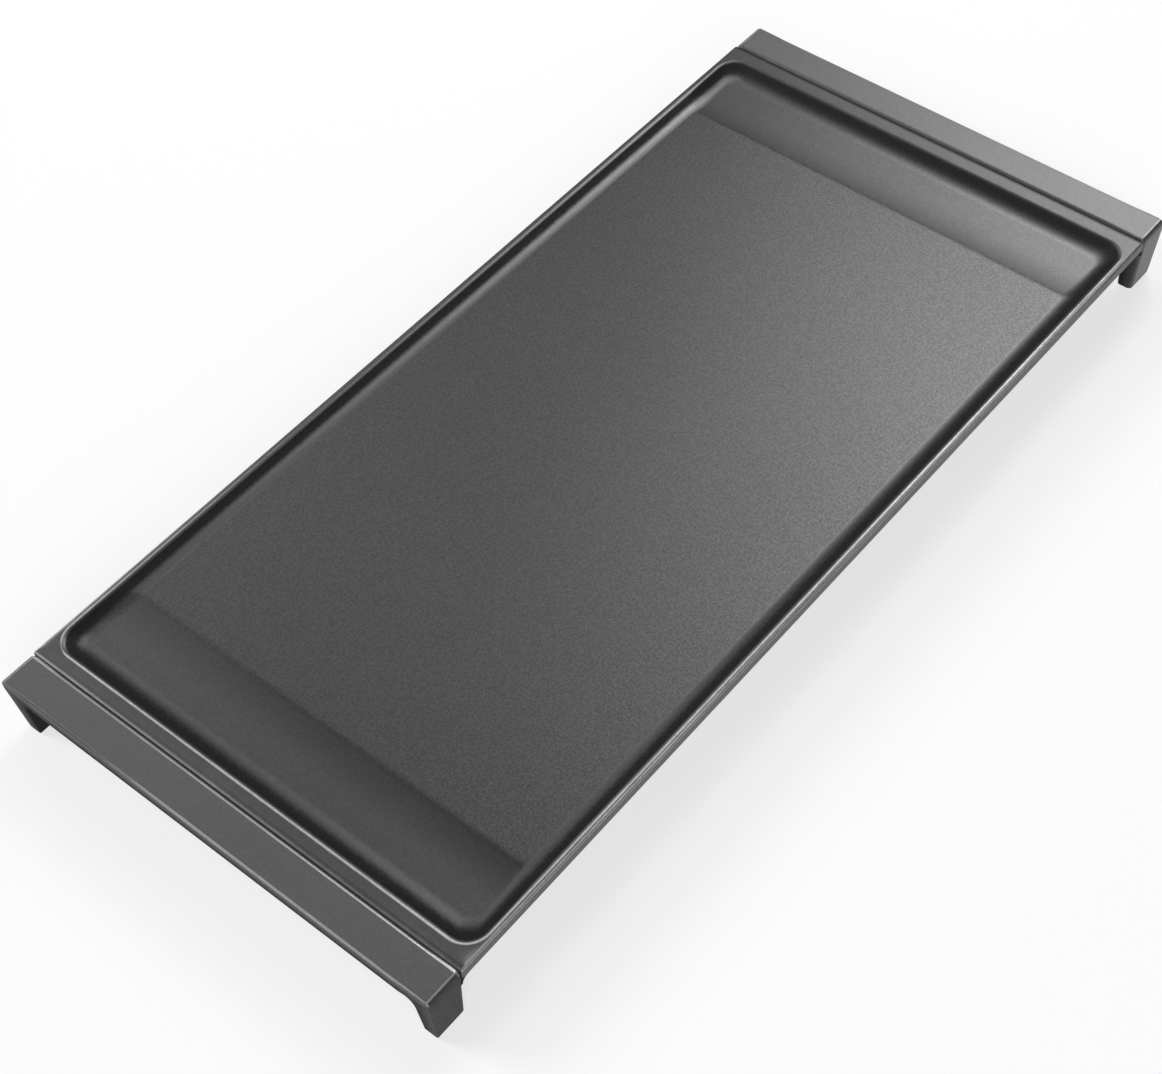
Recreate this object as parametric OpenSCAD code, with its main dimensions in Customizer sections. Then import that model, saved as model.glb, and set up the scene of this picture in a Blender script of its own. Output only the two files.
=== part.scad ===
/* [Overall size] */
// Length between the outer edges of the two end rails
length = 480; // [420:1:560]
// Width across the long sides
width = 225; // [190:1:300]
// Height from the surface it stands on to the rim
height = 32; // [30:0.5:45]

/* [Cooking plate] */
// Thickness of the rim and of the rail ledges
edge_t = 4.5; // [4:0.1:4.5]
// Rounding of the rim and ledge top edges
edge_r = 1; // [0.6:0.1:1.5]
// Rounding of the plate's top edge at the seam
seam_r = 1.2; // [0.6:0.1:2]
// Rim width along the long sides
rim_w = 2.6; // [2.2:0.1:6]
// Rim land between the recess and the end seam
land_w = 7.4; // [5:0.1:12]
// Depth of the cooking face below the rim
recess_depth = 2.6; // [2.6:0.1:3.3]
// Radius of the cove at the foot of the recess wall
cove_r = 12; // [10:0.1:14]
// Plan radius of the recess corners at the rim
corner_r = 9.6; // [9.2:0.1:14]
// Length of the grease trough at each end of the recess
trough_len = 39; // [34:1:60]
// Drop of the trough floor below the cooking face
trough_drop = 2; // [2:0.1:2.5]
// Length over which the trough floor curves down
trough_ramp = 26; // [20:1:28]
// Inset of the trough floor from the edge of the cooking face
trough_inset = 1; // [0.6:0.1:1.1]
// Metal left under the trough floor
floor_t = 4; // [3.5:0.1:6]
// Inset of the plate body from the plate edge at the long sides
body_inset_y = 4; // [3.5:0.1:6]
// Inset of the plate body from the plate edge at the ends
body_inset_x = 3.8; // [3.5:0.1:6]
// Plan radius of the plate body corners
body_corner_r = 18; // [17:0.5:20]

/* [End rails] */
// Gap of the seam between plate and rail
seam_gap = 0.3; // [0.2:0.05:1]
// Width of the rail ledge
ledge_w = 16.4; // [14:0.1:24]
// Rounding of the top edge at both ends of a ledge
ledge_end_r = 2.2; // [1:0.1:3]
// Plan radius of the rail's outer corners
rail_corner_r = 0.8; // [0.5:0.1:3]
// Thickness of a leg at the foot, across the plate
leg_t = 6.8; // [6:0.1:9]
// Lean of the leg's outer end face over its height
leg_lean = 2; // [1:0.1:3]
// Draft of the leg's side face over its height
leg_draft = 2.6; // [1:0.1:4]
// Fillet between leg and ledge underside
leg_fillet = 9; // [5:0.5:12]
// Reach of the flared shoulder under the plate corner
shoulder = 4.4; // [2.5:0.1:6]
// Thickness left at the tip of the shoulder
shoulder_tip = 0.3; // [0.2:0.1:1]

/* [Rail fixing] */
// Spacing of the three rail screws
screw_pitch = 75; // [55:1:80]
// Distance of the screws in from the seam
screw_in = 17; // [15:0.5:22]
// Height of the cast boss over each screw
boss_h = 4; // [3:0.5:6]
// Diameter of the boss
boss_d = 12; // [11:0.5:16]
// Width of the rail tab under each boss
tab_w = 18; // [16:0.5:24]
// Thickness of the rail tab
tab_t = 4; // [3:0.5:5]
// Thickness of the riser between tab and ledge
riser_t = 5; // [4:0.5:6]
// Depth of the tapped hole past the boss, in the plate floor
tap_past_boss = 1.7; // [1:0.1:2]

/* [Screws and washers] */
// Screw thread diameter
screw_d = 5; // [4:0.5:6]
// Diameter of the domed screw head
head_d = 9.5; // [9:0.1:11]
// Height of the screw head
head_h = 2.75; // [2.5:0.05:3.5]
// Hex socket size across the flats
hex_af = 3; // [2.5:0.5:4]
// Depth of the hex socket
hex_depth = 1.6; // [1:0.1:1.8]
// Washer outer diameter
washer_d = 10; // [9.8:0.1:14]
// Washer thickness
washer_t = 1; // [0.6:0.1:1.6]

/* [Foot pads] */
// Length of a foot pad
pad_len = 10; // [8:0.5:12]
// Width of a foot pad
pad_w = 4; // [3:0.1:5]
// Height of pad standing below the leg
pad_proud = 0.8; // [0.5:0.1:1.5]
// Depth of the pad pocket in the leg
pad_sunk = 2.2; // [1.5:0.1:4]

/* [Fits] */
// Radial clearance of the thread in its tapped hole
tap_clear = 0.05; // [0.02:0.01:0.2]
// Radial clearance of the screw in the tab and washer
hole_clear = 0.25; // [0.1:0.05:0.5]
// Clearance round a pad in its pocket
pad_clear = 0.1; // [0.05:0.05:0.3]

/* [Hidden] */
$fn = 96;

coating = [0.27, 0.27, 0.28];
zinc = [0.72, 0.73, 0.75];
silicone = [0.09, 0.09, 0.10];
over = 1;

// Heights
rim_under = height - edge_t;
plateau_z = height - recess_depth;
trough_z = plateau_z - trough_drop;
body_under = trough_z - floor_t;
boss_under = body_under - boss_h;
tab_under = boss_under - tab_t;
washer_under = tab_under - washer_t;
head_under = washer_under - head_h;
tap_top = body_under + tap_past_boss;
screw_tip_gap = 0.5;
sky = height + over;

// Half sizes in plan
half_l = length / 2;
half_w = width / 2;
rail_x = half_l - ledge_w;
plate_x = rail_x - seam_gap;
recess_x = plate_x - land_w;
recess_y = half_w - rim_w;
crease_x = recess_x - trough_len;
body_x = plate_x - body_inset_x;
body_y = half_w - body_inset_y;
screw_x = plate_x - screw_in;
screw_ys = [-screw_pitch, 0, screw_pitch];
foot_x = half_l - leg_lean;
foot_y = half_w - leg_draft;
leg_in_y = foot_y - leg_t;

// Width that the cove takes at a given depth below its springing
function cove_w(depth) = sqrt(2 * cove_r * depth - depth * depth);
cove_foot = cove_w(recess_depth);
trough_foot = cove_foot + trough_inset;

// Radius of the arc that lets the trough floor down and levels out
ramp_r = (trough_ramp * trough_ramp + trough_drop * trough_drop) / (2 * trough_drop);
ramp_angle = asin(trough_ramp / ramp_r);
ramp_overrun = 3;

// Waste outside a round of radius r in the corner at [x, y], which points to the signs sx and sy
module corner_waste(x, y, sx, sy, r) {
    difference() {
        translate([sx > 0 ? x - r : x - over, sy > 0 ? y - r : y - over]) square(r + over);
        translate([x - sx * r, y - sy * r]) circle(r);
    }
}

// Rectangle with round corners, centred
module round_rect(w, d, r) {
    square([w, d - 2 * r], center = true);
    square([w - 2 * r, d], center = true);
    for (sx = [-1, 1], sy = [-1, 1]) translate([sx * (w / 2 - r), sy * (d / 2 - r)]) circle(r);
}

// Section along X, drawn as [x, z], carried along Y between the two values
module along_y(y0, y1) {
    translate([0, y1, 0]) rotate([90, 0, 0]) linear_extrude(y1 - y0) children();
}

// Section across the plate, drawn as [y, z], carried along X between the two values
module along_x(x0, x1) {
    translate([x0, 0, 0]) rotate([90, 0, 90]) linear_extrude(x1 - x0) children();
}

// Half section of the recess: level floor from the middle to the cove, then the cove up to the sky
module recess_half(floor_edge, floor_z) {
    translate([0, floor_z]) square([floor_edge, sky - floor_z]);
    intersection() {
        translate([floor_edge, floor_z + cove_r]) circle(cove_r);
        translate([floor_edge, floor_z]) square([cove_r + over, sky - floor_z]);
    }
}

// Coved basin with rounded corners over the whole recess, its floor at floor_z and foot_in from the rim edge
module basin(floor_z, foot_in) {
    run_x = recess_x - corner_r;
    run_y = recess_y - corner_r;
    for (s = [0, 1]) mirror([0, s, 0]) along_x(-run_x, run_x) recess_half(recess_y - foot_in, floor_z);
    for (s = [0, 1]) mirror([s, 0, 0]) along_y(-run_y, run_y) recess_half(recess_x - foot_in, floor_z);
    for (a = [0, 1], b = [0, 1]) mirror([a, 0, 0]) mirror([0, b, 0]) translate([run_x, run_y, 0])
        rotate_extrude(angle = 90) recess_half(corner_r - foot_in, floor_z);
}

// Arc of the trough floor: the recess section swung about a high axis across the plate
module trough_ramp_cut() {
    translate([crease_x + trough_ramp, 0, trough_z + ramp_r]) rotate([90, 0, 0])
        rotate([0, 0, -90 - ramp_angle - ramp_overrun])
            rotate_extrude(angle = ramp_angle + ramp_overrun, $fn = 360) ramp_section();
}

// Recess section for that swing, with the floor at the swing's radius and the cove towards its axis
module ramp_section() {
    for (s = [0, 1]) mirror([0, s, 0]) translate([ramp_r + trough_z, 0]) rotate([0, 0, 90])
        recess_half(recess_y - trough_foot, trough_z);
}

// Level end of the trough, from the foot of the ramp to the end wall
module trough_end_cut() {
    intersection() {
        basin(trough_z, trough_foot);
        translate([crease_x + trough_ramp, -half_w, trough_z - over])
            cube([half_l, width, sky + over]);
    }
}

// Everything taken out of the cooking face
module recess_cut() {
    intersection() {
        translate([0, 0, trough_z - over]) linear_extrude(sky - trough_z)
            round_rect(2 * recess_x, 2 * recess_y, corner_r);
        union() {
            basin(plateau_z, cove_foot);
            for (s = [0, 1]) mirror([s, 0, 0]) {
                trough_ramp_cut();
                trough_end_cut();
            }
        }
    }
}

// Flat slab with rounded top edges
module rim_slab() {
    intersection() {
        along_y(-half_w, half_w) difference() {
            translate([-plate_x, rim_under]) square([2 * plate_x, edge_t]);
            for (s = [-1, 1]) corner_waste(s * plate_x, height, s, 1, seam_r);
        }
        along_x(-plate_x, plate_x) difference() {
            translate([-half_w, rim_under]) square([width, edge_t]);
            for (s = [-1, 1]) corner_waste(s * half_w, height, s, 1, edge_r);
        }
    }
}

module griddle_plate() {
    color(coating) difference() {
        union() {
            rim_slab();
            translate([0, 0, body_under]) linear_extrude(rim_under + over - body_under)
                round_rect(2 * body_x, 2 * body_y, body_corner_r);
            for (sx = [-1, 1], y = screw_ys) translate([sx * screw_x, y, boss_under])
                cylinder(d = boss_d, h = boss_h + over);
        }
        recess_cut();
        for (sx = [-1, 1], y = screw_ys) translate([sx * screw_x, y, boss_under - over])
            cylinder(r = screw_d / 2 + tap_clear, h = tap_top - boss_under + over);
    }
}

// Outline of ledge and leg seen from the side, with the leaning outer face
module rail_side() {
    difference() {
        polygon([[rail_x, pad_proud], [foot_x, pad_proud], [half_l, rim_under], [half_l, height], [rail_x, height]]);
        corner_waste(rail_x, height, -1, 1, edge_r);
        corner_waste(half_l, height, 1, 1, edge_r);
    }
}

// Outline of ledge and both legs seen from the end, with the fillets under the ledge
module rail_end() {
    difference() {
        translate([-half_w, rim_under]) square([width, edge_t]);
        for (s = [-1, 1]) corner_waste(s * half_w, height, s, 1, ledge_end_r);
    }
    for (s = [0, 1]) mirror([s, 0]) {
        leg_end();
        difference() {
            translate([leg_in_y - leg_fillet, rim_under - leg_fillet]) square(leg_fillet);
            translate([leg_in_y - leg_fillet, rim_under - leg_fillet]) circle(leg_fillet);
        }
    }
}

// One leg seen from the end, with its drafted side face
module leg_end() {
    polygon([[leg_in_y, pad_proud], [foot_y, pad_proud], [half_w, rim_under], [leg_in_y, rim_under]]);
}

// Flared shoulder that carries the plate corner, seen from the side
module shoulder_side() {
    tip_x = rail_x - shoulder;
    difference() {
        translate([tip_x, rim_under - shoulder - shoulder_tip]) square([shoulder, shoulder + shoulder_tip]);
        translate([tip_x, rim_under - shoulder - shoulder_tip]) circle(shoulder);
    }
}

// Pad outline with round ends, grown by clear all round
module pad_outline(clear) {
    run = pad_len - pad_w;
    square([run, pad_w + 2 * clear], center = true);
    for (s = [-1, 1]) translate([s * run / 2, 0]) circle(pad_w / 2 + clear);
}

// Places its children at the foot on the side sy of the right rail
module at_foot(sy) {
    translate([(rail_x + foot_x) / 2, sy * (leg_in_y + foot_y) / 2, 0]) children();
}

// Tab under a boss with its riser to the ledge and its screw hole
module tab(y) {
    difference() {
        translate([0, y, 0]) {
            translate([screw_x, 0, tab_under]) cylinder(d = tab_w, h = tab_t);
            translate([screw_x, -tab_w / 2, tab_under]) cube([rail_x + riser_t - screw_x, tab_w, tab_t]);
            translate([rail_x, -tab_w / 2, tab_under]) cube([riser_t, tab_w, rim_under - tab_under]);
        }
        translate([screw_x, y, tab_under - over])
            cylinder(r = screw_d / 2 + hole_clear, h = tab_t + 2 * over);
    }
}

// End rail on the right: ledge, two legs with shoulders, three tabs
module end_rail() {
    color(coating) difference() {
        union() {
            intersection() {
                along_y(-half_w, half_w) rail_side();
                along_x(rail_x, half_l) rail_end();
                linear_extrude(sky) difference() {
                    translate([rail_x, -half_w]) square([ledge_w, width]);
                    for (s = [-1, 1]) corner_waste(half_l, s * half_w, 1, s, rail_corner_r);
                }
            }
            for (s = [0, 1]) mirror([0, s, 0]) intersection() {
                along_y(leg_in_y, half_w) shoulder_side();
                along_x(rail_x - shoulder, rail_x) leg_end();
            }
            for (y = screw_ys) tab(y);
        }
        for (sy = [-1, 1]) at_foot(sy) linear_extrude(pad_proud + pad_sunk) pad_outline(pad_clear);
    }
}

// Domed screw with a hex socket, head down, at the origin of its head's underside
module rail_screw() {
    dome_r = (head_d * head_d / 4 + head_h * head_h) / (2 * head_h);
    shank = tap_top - screw_tip_gap - washer_under;
    difference() {
        union() {
            rotate_extrude() intersection() {
                translate([0, dome_r - head_h]) circle(dome_r);
                translate([0, -head_h]) square([head_d / 2, head_h]);
            }
            cylinder(d = screw_d, h = shank);
        }
        translate([0, 0, -head_h - over]) cylinder(d = hex_af / cos(30), h = hex_depth + over, $fn = 6);
    }
}

module rail_screws() {
    color(zinc) for (y = screw_ys) translate([screw_x, y, washer_under]) rail_screw();
}

module rail_washers() {
    color(zinc) for (y = screw_ys) translate([screw_x, y, washer_under]) difference() {
        cylinder(d = washer_d, h = washer_t);
        translate([0, 0, -over]) cylinder(r = screw_d / 2 + hole_clear, h = washer_t + 2 * over);
    }
}

// Silicone pad seated in its pocket
module foot_pad(sy) {
    color(silicone) at_foot(sy) linear_extrude(pad_proud + pad_sunk) pad_outline(0);
}

// Left copies are the right ones mirrored across the middle of the length
module on_left() {
    mirror([1, 0, 0]) children();
}

module left_end_rail() { on_left() end_rail(); }
module right_end_rail() { end_rail(); }
module left_rail_screws() { on_left() rail_screws(); }
module right_rail_screws() { rail_screws(); }
module left_rail_washers() { on_left() rail_washers(); }
module right_rail_washers() { rail_washers(); }
module left_front_foot_pad() { on_left() foot_pad(-1); }
module left_back_foot_pad() { on_left() foot_pad(1); }
module right_front_foot_pad() { foot_pad(-1); }
module right_back_foot_pad() { foot_pad(1); }

griddle_plate();
left_end_rail();
right_end_rail();
left_rail_screws();
right_rail_screws();
left_rail_washers();
right_rail_washers();
left_front_foot_pad();
left_back_foot_pad();
right_front_foot_pad();
right_back_foot_pad();
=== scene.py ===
"""Dressed model of a long drop-on griddle plate with end rails, on a pale studio floor."""
import logging
import math
from dataclasses import dataclass, field
from enum import Enum
from typing import Sequence, Union

import bmesh
import bpy
import numpy as np
from mathutils import Matrix, Vector


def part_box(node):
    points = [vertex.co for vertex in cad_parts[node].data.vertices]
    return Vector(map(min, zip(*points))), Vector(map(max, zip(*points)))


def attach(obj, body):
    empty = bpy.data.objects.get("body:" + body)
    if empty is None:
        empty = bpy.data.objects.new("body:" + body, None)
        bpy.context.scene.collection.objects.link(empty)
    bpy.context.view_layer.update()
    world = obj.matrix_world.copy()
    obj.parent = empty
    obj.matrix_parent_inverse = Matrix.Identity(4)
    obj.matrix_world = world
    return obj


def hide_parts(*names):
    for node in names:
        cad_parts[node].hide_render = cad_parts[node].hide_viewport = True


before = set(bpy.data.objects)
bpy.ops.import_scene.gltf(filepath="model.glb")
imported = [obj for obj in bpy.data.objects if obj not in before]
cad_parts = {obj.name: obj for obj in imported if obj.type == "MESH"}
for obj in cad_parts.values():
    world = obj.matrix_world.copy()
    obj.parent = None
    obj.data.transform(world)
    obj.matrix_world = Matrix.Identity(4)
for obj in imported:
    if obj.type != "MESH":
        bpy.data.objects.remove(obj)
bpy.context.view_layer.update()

LOG = logging.getLogger("griddle")
MM = 0.001
ROOT = "root"
PHOTO_W = 1162
PHOTO_H = 1074
# Shares stored on each point: pebbled grain, rubbed edge with painted highlight, and a dull dark layer of
# painted shade
SHARES = ("grain", "wear_and_highlight", "painted_shade")

Array = np.ndarray
Floats = Union[float, np.ndarray]


class Slot(Enum):
    """Material slots of the record that the pieces take their finish from."""

    COATING = "griddle_coating"
    ZINC = "zinc_steel"
    SILICONE = "black_silicone"


class End(Enum):
    """The two ends of the plate, with the side of X that each lies on."""

    LEFT = -1
    RIGHT = 1

    @property
    def word(self) -> str:
        """Name of the end in lower case, as the nodes spell it."""
        return self.name.lower()


# Meshes

@dataclass
class Surface:
    """Points and faces of a mesh under construction, in millimetres.

    Grain is the share of pebbled coating at each point. A second share is rubbed edge together with painted
    highlight along edges, and a third is a dull dark layer that paints shade on sides, undersides, the
    recess wall, the troughs, the groove and the legs.
    """

    points: Array
    faces: list
    grain: Array
    wear_and_highlight: Array
    painted_shade: Array

    @staticmethod
    def join(parts: Sequence["Surface"]) -> "Surface":
        """Stacks several surfaces into one.

        Args:
            parts: surfaces to put together.

        Returns:
            One surface whose faces are renumbered to the stacked points.
        """
        starts = np.cumsum([0] + [len(p.points) for p in parts])
        faces = [tuple(i + s for i in f) for p, s in zip(parts, starts) for f in p.faces]
        shares = [np.concatenate([getattr(p, share) for p in parts]) for share in SHARES]
        return Surface(np.concatenate([p.points for p in parts]), faces, *shares)


def pairs(first: Floats, second: Floats) -> Array:
    """Points from two coordinates, either of which may be one number for all of them."""
    return np.stack(np.broadcast_arrays(first, second), axis=-1)


def quarter(count: int) -> Array:
    """Angles from 0 to a right angle, in even steps."""
    return np.linspace(0.0, math.pi / 2, count)


def grid_quads(rows: int, cols: int, close_cols: bool = False, first: int = 0) -> list:
    """Quads between neighbouring points of a grid stored row by row.

    Args:
        rows: number of rows.
        cols: number of points in a row.
        close_cols: whether the last column meets the first.
        first: number of the grid's first point.

    Returns:
        Faces as tuples of four point numbers.
    """
    here = np.arange(cols if close_cols else cols - 1)
    beside = (here + 1) % cols
    row = (np.arange(rows - 1) * cols)[:, None]
    quads = np.stack([row + here, row + beside, row + cols + beside, row + cols + here], axis=-1)
    return [tuple(q) for q in (quads.reshape(-1, 4) + first).tolist()]


def soft_ramp(x: Array, width: float) -> Array:
    """Ramp that is 0 below zero and x above it, rounded over about the given width."""
    return width * np.logaddexp(0.0, x / width)


def smooth_step(x: Array, low: Floats, high: Floats) -> Array:
    """Smooth step from 0 at low to 1 at high."""
    share = np.clip((x - low) / (high - low), 0.0, 1.0)
    return share ** 2 * (3.0 - 2.0 * share)


def soft_min(a: Array, b: Array, width: float) -> Array:
    """Smaller of two heights, with the corner between them rounded over the given width.

    Args:
        a: first height.
        b: second height.
        width: height difference over which the two blend.

    Returns:
        The rounded minimum, by the parabola that joins both branches smoothly.
    """
    blend = np.clip(0.5 + 0.5 * (b - a) / width, 0.0, 1.0)
    return b + (a - b) * blend - width * blend * (1.0 - blend)


def add_piece(name: str, surface: Surface) -> bpy.types.Object:
    """Makes a smooth mesh object at the origin from a surface.

    Args:
        name: name of the object.
        surface: its points in millimetres, its faces and its finish shares.

    Returns:
        The new object, linked to the scene, with its shares of grain, of wear with painted highlight and
        of painted shade as attributes.
    """
    mesh = bpy.data.meshes.new(name)
    mesh.from_pydata((surface.points * MM).tolist(), [], surface.faces)
    for share in SHARES:
        layer = mesh.attributes.new(share, "FLOAT", "POINT")
        layer.data.foreach_set("value", getattr(surface, share).astype(np.float32))
    work = bmesh.new()
    work.from_mesh(mesh)
    bmesh.ops.recalc_face_normals(work, faces=work.faces)
    work.to_mesh(mesh)
    work.free()
    mesh.polygons.foreach_set("use_smooth", np.ones(len(mesh.polygons), dtype=bool))
    mesh.update()
    piece = bpy.data.objects.new(name, mesh)
    bpy.context.collection.objects.link(piece)
    return piece


@dataclass(frozen=True)
class Stations:
    """Where the points of a rounded rectangle lie: shares of each straight run, steps of a half corner."""

    run_x: Array
    run_y: Array
    half_corner: int

    def side(self, run: Array, length: float, depth: float, radius: float) -> tuple[Array, Array]:
        """One side of a rounded rectangle, from the middle of one corner to the middle of the next.

        The side lies along the first axis at -depth on the second: half a corner arc, the straight run,
        then half an arc.

        Args:
            run: shares of the straight run, from -1 to 1.
            length: half length of the rectangle along the side.
            depth: half size of the rectangle across the side.
            radius: corner radius.

        Returns:
            Points and outward normals, each as an array of pairs.
        """
        turn = np.linspace(math.pi / 4, 0.0, self.half_corner + 1)[:-1]
        start_n = pairs(-np.sin(turn), -np.cos(turn))
        run_n = pairs(np.zeros_like(run), -1.0)
        end_n = start_n[::-1] * np.array([-1.0, 1.0])
        normals = np.concatenate([start_n, run_n, end_n])
        share = np.concatenate([-np.ones(len(turn)), run, np.ones(len(turn))])
        centre = pairs(share * (length - radius), radius - depth)
        return centre + radius * normals, normals

    def sides(self, half_x: float, half_y: float, radius: float) -> list:
        """South, east, north and west sides of a rounded rectangle, in that order round it.

        Args:
            half_x: half size along X.
            half_y: half size along Y.
            radius: corner radius.

        Returns:
            Four pairs of points and normals, each running counter-clockwise.
        """
        south, south_n = self.side(self.run_x, half_x, half_y, radius)
        below, below_n = self.side(self.run_y, half_y, half_x, radius)
        turned = np.array([[0.0, 1.0], [-1.0, 0.0]])
        return [(south, south_n), (below @ turned, below_n @ turned),
                (-south, -south_n), (-below @ turned, -below_n @ turned)]

    def ring(self, half_x: float, half_y: float, radius: float) -> tuple[Array, Array]:
        """Closed ring of points and normals round a rounded rectangle, each corner point once."""
        return ring_of(self.sides(half_x, half_y, radius))


def ring_of(sides: list) -> tuple[Array, Array]:
    """Joins four sides into one closed ring of points and normals, each corner point once."""
    return np.concatenate([p[:-1] for p, _ in sides]), np.concatenate([n[:-1] for _, n in sides])


def patch_of(sides: list) -> Array:
    """Grid that fills an outline that is the same on opposite sides, and meets the points of its ring.

    Between opposite sides, X is mixed between the west and east edges and Y between the south and north
    edges, each by the share at which the other pair of edges stands.

    Args:
        sides: south, east, north and west sides as pairs of points and normals.

    Returns:
        Points as an array of rows along Y, columns along X and pairs.
    """
    south, east = sides[0][0], sides[1][0]
    across = (south[:, 0] - south[0, 0]) / (south[-1, 0] - south[0, 0])
    up = (east[:, 1] - east[0, 1]) / (east[-1, 1] - east[0, 1])
    x = (2.0 * across[None, :] - 1.0) * east[:, None, 0]
    y = (1.0 - 2.0 * up[:, None]) * south[None, :, 1]
    return pairs(x, y)


def rim_numbers(rows: int, cols: int) -> Array:
    """Point numbers round the edge of a row-by-row grid, counter-clockwise from its first corner.

    Args:
        rows: number of rows.
        cols: number of points in a row.

    Returns:
        Numbers of the edge points, each once.
    """
    south = np.arange(cols - 1)
    east = np.arange(rows - 1) * cols + cols - 1
    north = rows * cols - 1 - np.arange(cols - 1)
    west = np.arange(rows - 1, 0, -1) * cols
    return np.concatenate([south, east, north, west])


def carried_section(inner: Array, outer: Array, low: Array, high: Array, radii: Array, steps: int,
                    guard: float) -> Array:
    """Rounded rectangle carried along a path.

    At each station the rectangle runs from the inner to the outer point in the path's plane, and from low to
    high across that plane. Each corner is an arc of its own radius, and a guard point beside each arc keeps
    the shading of the flats flat.

    Args:
        inner: points of the inner line in the path's plane, one row a station.
        outer: points of the outer line.
        low: lower limit across the plane at each station.
        high: upper limit across the plane.
        radii: corner radii at each station, for outer high, inner high, inner low and outer low.
        steps: segments of each corner arc.
        guard: distance of the guard points from the arcs.

    Returns:
        Array of stations, points round the section, and three values: the plane's two and the one across.
    """
    span = outer - inner
    thick = np.linalg.norm(span, axis=1)[:, None]
    turn = np.concatenate([[0.0], quarter(steps + 1), [math.pi / 2]])
    leave = np.append(np.zeros(steps + 2), guard)
    heights, widths = [], []
    for number, (to_outer, to_high) in enumerate(((1, 1), (-1, 1), (-1, -1), (1, -1))):
        r = radii[:, number:number + 1]
        in_thick = r * (1.0 - np.cos(turn)) + leave
        in_width = r * (1.0 - np.sin(turn)) + leave[::-1]
        if to_outer * to_high < 0:
            in_thick, in_width = in_width, in_thick
        heights.append(thick - in_thick if to_outer > 0 else in_thick)
        widths.append((high if to_high > 0 else low)[:, None] - to_high * in_width)
    share = np.concatenate(heights, axis=1) / thick
    plane = inner[:, None, :] + share[:, :, None] * span[:, None, :]
    return np.concatenate([plane, np.concatenate(widths, axis=1)[:, :, None]], axis=2)


def capped_tube(sections: Array, grain: float, wear_and_highlight: Array, painted_shade: Floats = 1.0) -> Surface:
    """Closed skin over a row of sections, with a flat cap at each end.

    Args:
        sections: stations, points round a section, and X, Y and Z.
        grain: share of pebbled coating all over.
        wear_and_highlight: share of rubbed edge and of painted highlight, one value for each point round a
            section, or a row of them a station.
        painted_shade: share of the dull dark layer of painted shade, one value for all, or a row of values a
            station; full shade unless given.

    Returns:
        The closed surface.
    """
    count, around = sections.shape[:2]
    total = count * around
    faces = grid_quads(count, around, close_cols=True)
    faces += [tuple(range(around)), tuple(range(total - around, total))]
    rubbed_and_highlight, dull = (np.broadcast_to(v, (count, around)).reshape(-1) for v in (wear_and_highlight, painted_shade))
    return Surface(sections.reshape(-1, 3), faces, np.full(total, grain), rubbed_and_highlight, dull)


def section_wear_and_highlight(steps: int, corners: Sequence[float]) -> Array:
    """Share of rubbed edge and painted highlight round a carried section: a hump over each corner arc,
    scaled for that corner.
    """
    hump = np.concatenate([[0.0], np.sqrt(np.abs(np.sin(np.linspace(0.0, math.pi, steps + 1)))), [0.0]])
    return np.concatenate([c * hump for c in corners])


# Plate

# Shares of the recess wall's width at which its rings stand, closer together near the rim
WALL_SHARES = np.concatenate([np.linspace(0.0, 0.84, 19), np.linspace(0.86, 1.0, 12)])[:, None]
# Millimetres past the wall's top at which the rings of the rim's inner edge stand
RIM_STEPS = np.concatenate([np.linspace(0.08, 1.0, 12), np.linspace(1.15, 1.6, 3)])[:, None]


@dataclass(frozen=True)
class Ring:
    """One ring of the plate's outside: a rounded rectangle at a height, with its finish shares.

    Drop is the share of the edge's height by which the ring is sunk, flat the share of the rim's flat in it,
    and groove the share of painted shade where it faces the far groove between plate and rail. Its other
    shares are painted shade and wear with painted highlight.
    """

    half_x: float
    half_y: float
    radius: float
    z: float
    painted_shade: float
    drop: float = 0.0
    wear_and_highlight: float = 0.0
    flat: float = 0.0
    groove: float = 0.0


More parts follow.
